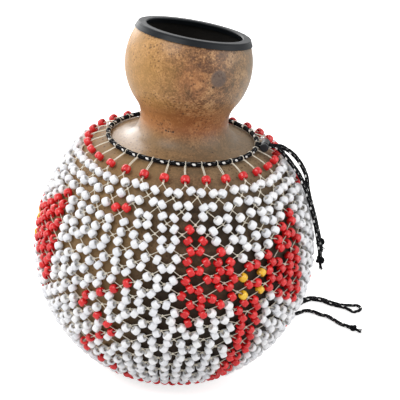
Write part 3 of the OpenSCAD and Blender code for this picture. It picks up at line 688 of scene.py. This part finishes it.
def rubber_material():
    """Black satin rubber of the mouth's rim."""
    m = Mat("rubber", (0.016, 0.019, 0.022), 0.34, 0.14)
    m.link(m.mix(m.noise(40.0, 4.0), (0.006, 0.0075, 0.009), (0.014, 0.016, 0.019)), m.b.inputs["Base Color"])
    m.link(m.math("MULTIPLY_ADD", m.noise(90.0, 4.0), 0.2, 0.26), m.b.inputs["Roughness"])
    m.bump(m.noise(700.0, 3.0), 0.15, 0.0002)
    return m.m


def lock_material(name, low, high, rough):
    """Moulded dark plastic of the cord lock, between two tones."""
    m = Mat(name, low, rough, 0.2)
    m.link(m.mix(m.noise(150.0, 4.0), low, high), m.b.inputs["Base Color"])
    m.link(m.math("MULTIPLY_ADD", m.noise(300.0, 3.0), 0.2, rough - 0.1), m.b.inputs["Roughness"])
    m.bump(m.noise(1500.0, 2.0), 0.2, 0.0001)
    return m.m


def steel_material():
    """Drawn wire of the lock's spring."""
    m = Mat("wire", (0.55, 0.55, 0.55), 0.3)
    m.b.inputs["Metallic"].default_value = 1.0
    m.link(m.mix(m.noise(900.0, 3.0), (0.5, 0.5, 0.5), (0.66, 0.66, 0.65)), m.b.inputs["Base Color"])
    m.bump(m.noise(3000.0, 2.0), 0.1, 0.00005)
    return m.m


white_mat = bead_material("bead_white", (0.86, 0.86, 0.88), (0.79, 0.80, 0.835), (0.90, 0.90, 0.91))
red_mat = bead_material("bead_red", (0.66, 0.012, 0.015), (0.6, 0.007, 0.01), (0.76, 0.02, 0.022))
yellow_mat = bead_material("bead_yellow", (0.85, 0.5, 0.03), (0.8, 0.44, 0.02), (0.92, 0.6, 0.05))
twine_mat, braid_mat, fray_mat = string_material(), cord_material(), fibre_material()
knot_mat = cord_material("braid_plain", False)
gourd_mat, rubber_mat, steel_mat = gourd_material(), rubber_material(), steel_material()
barrel_mat = lock_material("lock_barrel", (0.008, 0.008, 0.009), (0.018, 0.019, 0.021), 0.36)
button_mat = lock_material("lock_button", (0.014, 0.015, 0.017), (0.03, 0.032, 0.036), 0.4)
for node, mat in (("gourd_shell", gourd_mat), ("mouth_rim", rubber_mat), ("lock_barrel", barrel_mat),
                  ("lock_button", button_mat)):
    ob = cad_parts[node]
    if not ob.material_slots:
        ob.data.materials.append(mat)
    for s in ob.material_slots:
        s.material = mat


# ---------------------------------------------------------------- the spring in the cord lock
spring_r, spring_wire_r, spring_low, spring_rise = 2.15, 0.2, 6.85, 2.0
bore_low, pressed_share, spring_turn = 7.1, 0.38, 6 * math.pi
coil = [lock_place(lock_x + spring_r * math.cos(a), spring_low - spring_rise * a / spring_turn,
                   spring_r * math.sin(a)) for a in np.linspace(0, spring_turn, 73)]
b = Build()
b.add(*tube(coil, spring_wire_r, 8))
ob = b.make("lock_coil", steel_mat, "cord_lock_barrel", "spring_steel", ("lock_spring",))
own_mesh(ob)

# ---------------------------------------------------------------- free cords
# A cord is this wide over its braid, and drawn in where it goes through the lock or a knot.
cord_full_r, cord_tight_r, cord_swell = cord_r + 0.45, 1.66, 4
floor_room = 0.05


def slimmed(line, start, end, run):
    """Taper of a cord that is drawn in over a run of mm at one end or both."""
    step = np.linalg.norm(np.diff(line, axis=0), axis=1)
    at = np.concatenate([[0], np.cumsum(step)])
    tight = cord_tight_r / cord_full_r
    t = np.ones(len(line))
    if start:
        t = np.minimum(t, tight + (1 - tight) * np.clip((at - run) / cord_swell, 0, 1))
    if end:
        t = np.minimum(t, tight + (1 - tight) * np.clip((at[-1] - at - run) / cord_swell, 0, 1))
    return t


TO_CAMERA = (0, -0.906, 0.423)


def knot_line(p, v, r, length):
    """Overhand knot: a trefoil about p, its long way along v and its wide side to the front."""
    m = frame_to(v, TO_CAMERA)
    t = np.linspace(0, 2 * math.pi, 60, endpoint=False)
    x = r * (np.sin(t) + 2 * np.sin(2 * t)) / 3
    y = r * (np.cos(t) - 2 * np.cos(2 * t)) / 3
    z = -length * np.sin(3 * t) * 0.5
    return np.column_stack([x, z, y]) @ m.T + p


knot_r, knot_long, knot_cord_r, knot_low, stub_r = 2.35 * 1.2, 2.4 * 1.2, 1.7, 1.8, 1.5
fibres, fibre_r, fibre_low = 32, 0.22, 0.25


def make_knot(name, line, nodes, rng):
    """Knot and frayed end that carry on from the last place of a tail."""
    v = unit(line[-1] - line[-4])
    at = line[-1] + v * 1.6
    b = Build()
    turns = knot_line(at, v, knot_r, knot_long)
    turns[:, 2] = np.maximum(turns[:, 2], knot_low)
    b.add(*tube(turns, knot_cord_r, 12, closed=True))
    stub = np.array([line[-1] - v * 0.5 + v * 1.2 * i for i in range(7)])
    b.add(*tube(stub, stub_r, 10))
    knot = b.make(name, knot_mat, "net", "cord_black", nodes)
    f = Build()
    m = frame_to(v)
    root = stub[-1] - v * 1.0
    for i in range(fibres):
        a = rng.uniform(0, 2 * math.pi)
        q = math.sqrt(rng.uniform(0, 1))
        out = m @ np.array([math.cos(a), math.sin(a), 0.0])
        long, wide, bend = rng.uniform(3.5, 6.5), rng.uniform(0.5, 2.6) * q, rng.uniform(-0.5, 0.5)
        side = np.cross(v, out)
        pts = [root + out * (1.1 * q + wide * s * s) + v * long * s + side * bend * s * s
               for s in (0, 0.25, 0.5, 0.75, 1.0)]
        for pt in pts:
            pt[2] = max(pt[2], fibre_low)
        f.add(*tube(pts, fibre_r, 4))
    fray = f.make(name + "_fray", fray_mat, "net", "cord_black")
    fray.parent = knot
    fray.matrix_parent_inverse = Matrix.Identity(4)
    return knot, fray


cord_rng = random.Random(11)
for name, route, node, knot_node, lay in (
        ("collar_tail_near", near_route, "collar_tail_1", "collar_tail_knot_1", "hanging"),
        ("collar_tail_far", far_route, "collar_tail_2", "collar_tail_knot_2", "hanging"),
        ("floor_tail", tail_route, "base_tail", "base_tail_knot", "loose")):
    line = smooth_line(route)
    line[:, 2] = np.maximum(line[:, 2], cord_full_r + floor_room)
    b = Build()
    b.add(*tube(line, cord_full_r, 14, taper=slimmed(line, True, False, 1.0)))
    ob = b.make(name, braid_mat, "net", "cord_black", (node,))
    knot, fray = make_knot(name + "_knot", line, (knot_node,), cord_rng)
line = smooth_line(loop_route)
loop_r = cord_r + 0.1
b = Build()
b.add(*tube(line, loop_r, 14))
ob = b.make("floor_loop", braid_mat, "net", "cord_black", ("base_loop",))

# held cords and the knot under the gourd
b = Build()
line = ring_line(collar[0], collar_bend_r, climb, level_r, collar_end, lock_around, collar[1])
b.add(*tube(line, cord_full_r, 14, taper=slimmed(line, True, True, 13.0)))
b.make("collar_ring", braid_mat, "net", "cord_black", ("collar_cord",))
b = Build()
line = ring_line(base[0], 2.6, 0, 0, base_knot_x, base_around, base[1])
b.add(*tube(line, cord_full_r, 14, taper=slimmed(line, True, True, 4.0)))
b.make("base_ring", braid_mat, "net", "cord_black", ("base_cord",))
b = Build()
wrap_r = 2.15
for off in (-2.6, 0.0, 2.6):
    loop = np.array([exit_place(base_knot_x + off + 0.5 * math.sin(s), wrap_r * math.cos(s),
                                base[1] + wrap_r * math.sin(s))
                     for s in np.linspace(0, 2 * math.pi, 28, endpoint=False)])
    b.add(*tube(loop, 1.55, 10, closed=True))
core = np.array([exit_place(base_knot_x - 3.5 + i, 0, base[1]) for i in range(8)])
b.add(*tube(core, 1.6, 10))
b.make("base_cord_knot", knot_mat, "net", "cord_black", ("base_knot",))

# ---------------------------------------------------------------- the net as it hangs
# Knots wander a little from their even places, beads slide on their strings and tip, and beads
# that would meet push each other apart.
KNOT_ASIDE, KNOT_UP, BEAD_SLIDE, MOST_SLIDE, BEAD_TIP = 1.25, 0.95, 1.4, 2.5, 0.09
hang = random.Random(31)
jog = {}
for k in range(rows + 1):
    free = min(1.0, 0.25 + k / 2, (rows - k) / 2)
    for c in range(k % 2, 2 * columns, 2):
        a = knot_around(c)
        aside = sideways(a) * hang.gauss(0, KNOT_ASIDE)
        jog[k, c] = (aside + uphill(turn_at(runs[k]), a) * hang.gauss(0, KNOT_UP)) * free


def hung_knot(k, c): return knot_at(k, c) + jog[k, c % (2 * columns)]
def hung_low(k, j): return hung_knot(k, low_knot(k, j))
def hung_high(k, j): return hung_knot(k - 1, low_knot(k, j) + lean(k, j))


cells = [(k, j) for k in range(1, rows + 1) for j in range(2 * columns)]
at_p, at_n, at_a = [], [], []
for k, j in cells:
    p, n = bead_at(k, j)
    low, high, share = hung_low(k, j), hung_high(k, j), bead_share(k, j)
    moved = jog[k, low_knot(k, j) % (2 * columns)] * (1 - share) + \
        jog[k - 1, (low_knot(k, j) + lean(k, j)) % (2 * columns)] * share
    axis = unit(high - low)
    loose = min(1.0, (k + 1) / 3, (rows - k + 0.3) / 3)
    slide = max(-MOST_SLIDE, min(MOST_SLIDE, hang.gauss(0, BEAD_SLIDE))) * loose
    at_p.append(p + moved + axis * slide)
    at_n.append(n)
    at_a.append(unit(axis + np.array([hang.gauss(0, BEAD_TIP) for _ in range(3)])))
P, N, A = np.array(at_p), np.array(at_n), np.array(at_a)  # beads' places, outward ways and axes
BEAD_FULL_R, BEAD_HALF, RIM_ROOM, END_ROOM = 4.1, 3.08, 0.06, 0.35


def reach(c):
    """How far a bead reaches toward another, where c is the squared cosine to its axis."""
    return 1 / np.sqrt((1 - c) / (BEAD_FULL_R + RIM_ROOM) ** 2 + c / (BEAD_HALF + END_ROOM) ** 2)


for _ in range(40):
    d = P[:, None] - P[None]
    gap = np.linalg.norm(d, axis=2) + np.eye(len(P)) * 99
    i, j = np.nonzero(gap < 2 * BEAD_FULL_R + 0.3)
    u = d[i, j] / gap[i, j][:, None]
    wide = reach((u * A[i]).sum(1) ** 2) + reach((u * A[j]).sum(1) ** 2)
    push = np.maximum(0, wide - gap[i, j]) * 0.5
    step = u * push[:, None]
    step -= N[i] * (step * N[i]).sum(1)[:, None]
    move = np.zeros_like(P)
    np.add.at(move, i, step * 0.6)
    P += move
hung = {cell: n for n, cell in enumerate(cells)}

# ---------------------------------------------------------------- strings
rng = random.Random(5)
hitch_r, hitch_out = cord_full_r + 0.3, cord_r + 2 * string_r + 0.25
hitch_side, hitch_string_r, net_string_r, net_knot_r, net_knot_half = 0.5, 0.36, string_r * 0.95, 1.0, 1.3
rows_per_strings = math.ceil((rows + 1) / 5)
for i in range(5):
    b = Build()
    for k in range(i * rows_per_strings, min(rows, (i + 1) * rows_per_strings - 1) + 1):
        for c in range(k % 2, 2 * columns, 2):
            up_net = uphill(turn_at(runs[k]), knot_around(c))
            b.add(*ball(hung_knot(k, c), net_knot_r, net_knot_half, up_net, 0.15, rng))
        if k:
            for j in range(2 * columns):
                n = hung[k, j]
                low, high = hung_low(k, j), hung_high(k, j)
                mid_low, mid_high = P[n] - A[n] * BEAD_HALF, P[n] + A[n] * BEAD_HALF
                b.add(*tube([low, (low + mid_low) / 2, mid_low, P[n], mid_high, (mid_high + high) / 2, high],
                            net_string_r, 7))
    b.make("net_string_%d" % (i + 1), twine_mat, "net", "string", ("net_strings_%d" % (i + 1),))


def hitch_wrap(b, at, around):
    """A turn of string round a cord at this place."""
    a = np.linspace(0, 2 * math.pi, 20, endpoint=False)
    m = np.column_stack([np.array([sd(around), -cd(around), 0]), np.array([0, 0, 1.0])])
    c = round_at(at, around)
    loop = np.array([c + m @ np.array([math.cos(s), math.sin(s)]) * hitch_r
                     + sideways(around) * 0.15 * math.sin(s) for s in a])
    b.add(*tube(loop, hitch_string_r, 7, closed=True))


b = Build()
for c in range(0, 2 * columns, 2):
    hitch_wrap(b, collar, knot_around(c) + rng.uniform(-0.3, 0.3) / degree / collar[0])
b.make("collar_hitch_loops", twine_mat, "net", "string", ("collar_hitches",))
ring_run = run_at(top_turn) + 5.4
ring_turn = turn_at(ring_run)
b = Build()
for c in range(0, 2 * columns, 2):
    for side in (-1, 1):
        aside = side * sideways(knot_around(c))
        slack = rng.uniform(-0.5, 0.5)
        below_cord = (hitch_out - 0.3) / degree / (shoulder_r + cord_lift)
        start = place(collar_turn - below_cord, knot_around(c), cord_lift) + hitch_side * aside
        bend = place(turn_at(ring_run + bead_len / 2 + 0.6), knot_around(c), bead_lift - 0.6) + 0.5 * aside
        end = place(turn_at(run_at(top_turn) + 0.6), knot_around(c), bead_lift) + 0.4 * aside
        mid = (start + bend) / 2 + 0.35 * outward((collar_turn + ring_turn) / 2, knot_around(c)) + slack * aside
        b.add(*tube(smooth_line([start, mid, bend, end], 1.5), string_r, 7))
b.make("collar_string_pairs", twine_mat, "net", "string", ("collar_strings",))
b, h = Build(), Build()
for c in range(rows % 2, 2 * columns, 2):
    at, top = round_at(base, knot_around(c)), knot_at(rows, c)
    v = unit(top - at)
    long = np.linalg.norm(top - at) - hitch_out
    b.add(*tube([at + v * (hitch_out - 0.3 + long * t) for t in (0, 0.25, 0.5, 0.75, 1)], string_r, 7))
    hitch_wrap(h, base, knot_around(c))
b.make("base_string_ends", twine_mat, "net", "string", ("base_strings",))
h.make("base_hitch_loops", twine_mat, "net", "string", ("base_hitches",))

# ---------------------------------------------------------------- beads
# Radius and height of a bead's section, from the middle of its bore to its widest place.
HALF = [(1.72, 0.0), (1.75, 1.7), (1.87, 2.6), (2.15, 2.98), (2.6, 3.08), (3.1, 2.98), (3.52, 2.68),
        (3.82, 2.2), (4.01, 1.5), (4.09, 0.75)]
PROFILE = HALF + [(4.11, 0.0)] + [(r, -z) for r, z in HALF[:0:-1]]
BV, BF, BUV = revolve(PROFILE, 22)
groups = {}
for k, j in cells:
    groups.setdefault(paint(k, j), []).append((k, j))
NODE = {"hem": "hem_beads", "yellow": "yellow_beads", "tail": "tail_beads", "zigzag": "zigzag_beads",
        "spot": "spot_beads"}
NODE.update({"bow%d" % i: "bow_beads_%d" % i for i in (1, 2, 3)})
NODE.update({"white%d" % i: "white_beads_%d" % i for i in range(1, 9)})
bead_rng = random.Random(23)


def add_bead(b, p, axis, n):
    """One bead, a little uneven in size and tone."""
    m = frame_to(axis, n)
    s = bead_rng.uniform(0.97, 1.0)
    b.add((BV * (s, s, bead_rng.uniform(0.95, 1.0))) @ m.T + p, BF, BUV, bead_rng.uniform(0, 1))


for name, members in sorted(groups.items()):
    b = Build()
    for cell in members:
        n = hung[cell]
        add_bead(b, P[n], A[n], N[n])
    mat, slot = (white_mat, "bead_white") if name.startswith("white") else \
        (yellow_mat, "bead_yellow") if name == "yellow" else (red_mat, "bead_red")
    b.make("beads_" + name, mat, "net", slot, (NODE[name],))
b = Build()
for c in range(0, 2 * columns, 2):
    tip = np.array([bead_rng.gauss(0, 0.06) for _ in range(3)])
    add_bead(b, place(ring_turn, knot_around(c), bead_lift), unit(uphill(ring_turn, knot_around(c)) + tip),
             outward(ring_turn, knot_around(c)))
b.make("beads_ring", red_mat, "net", "bead_red", ("ring_beads",))

# ---------------------------------------------------------------- studio
def area(name, at, to, size, power):
    """Round lamp at a place in metres, turned to another."""
    d = bpy.data.lights.new(name, "AREA")
    d.shape, d.size, d.energy = "DISK", size, power
    o = bpy.data.objects.new(name, d)
    bpy.context.scene.collection.objects.link(o)
    o.location = at
    o.rotation_euler = (Vector(to) - Vector(at)).to_track_quat("-Z", "Y").to_euler()


area("key", (-0.95, -1.0, 1.6), (0, 0, 0.15), 1.3, 21)
area("fill", (1.5, -0.5, 0.9), (0, 0, 0.15), 1.7, 14)
area("left", (-1.5, 0.35, 0.45), (0, 0, 0.14), 1.4, 6)
area("back", (-0.8, 1.4, 0.95), (0, 0, 0.22), 1.8, 24)
world = bpy.data.worlds.new("studio")
bpy.context.scene.world = world
world.use_nodes = True
wt = world.node_tree
bg = wt.nodes["Background"]
bg.inputs[0].default_value = (1, 1, 1, 1)
rays = wt.nodes.new("ShaderNodeLightPath")
seen = wt.nodes.new("ShaderNodeMath")
seen.operation = "MAXIMUM"
wt.links.new(rays.outputs["Is Camera Ray"], seen.inputs[0])
wt.links.new(rays.outputs["Is Glossy Ray"], seen.inputs[1])
level = wt.nodes.new("ShaderNodeMath")
level.operation = "MULTIPLY_ADD"
level.inputs[1].default_value, level.inputs[2].default_value = 0.62, 0.38
wt.links.new(seen.outputs[0], level.inputs[0])
wt.links.new(level.outputs[0], bg.inputs[1])
# The floor glows a little to the camera, so that it is white as far as the soft shadow.
fm = Mat("floor", (0.86, 0.86, 0.86), 0.7)
floor_rays = fm.node("ShaderNodeLightPath")
emit = fm.node("ShaderNodeEmission")
emit.inputs[0].default_value = (1, 1, 1, 1)
fm.link(fm.math("MULTIPLY", floor_rays.outputs["Is Camera Ray"], 0.72), emit.inputs[1])
lit = fm.node("ShaderNodeAddShader")
fm.link(fm.b.outputs[0], lit.inputs[0])
fm.link(emit.outputs[0], lit.inputs[1])
fm.link(lit.outputs[0], fm.t.nodes["Material Output"].inputs[0])
half_side, floor_drop = 6, 0.0003
me = bpy.data.meshes.new("floor")
me.from_pydata([(-half_side, -half_side, 0), (half_side, -half_side, 0), (half_side, half_side, 0),
                (-half_side, half_side, 0)], [], [(0, 1, 2, 3)])
me.materials.append(fm.m)
floor = bpy.data.objects.new("floor", me)
floor.location = (0, 0, -floor_drop)
bpy.context.scene.collection.objects.link(floor)
bpy.context.scene.view_settings.view_transform = "Standard"
bpy.context.view_layer.update()
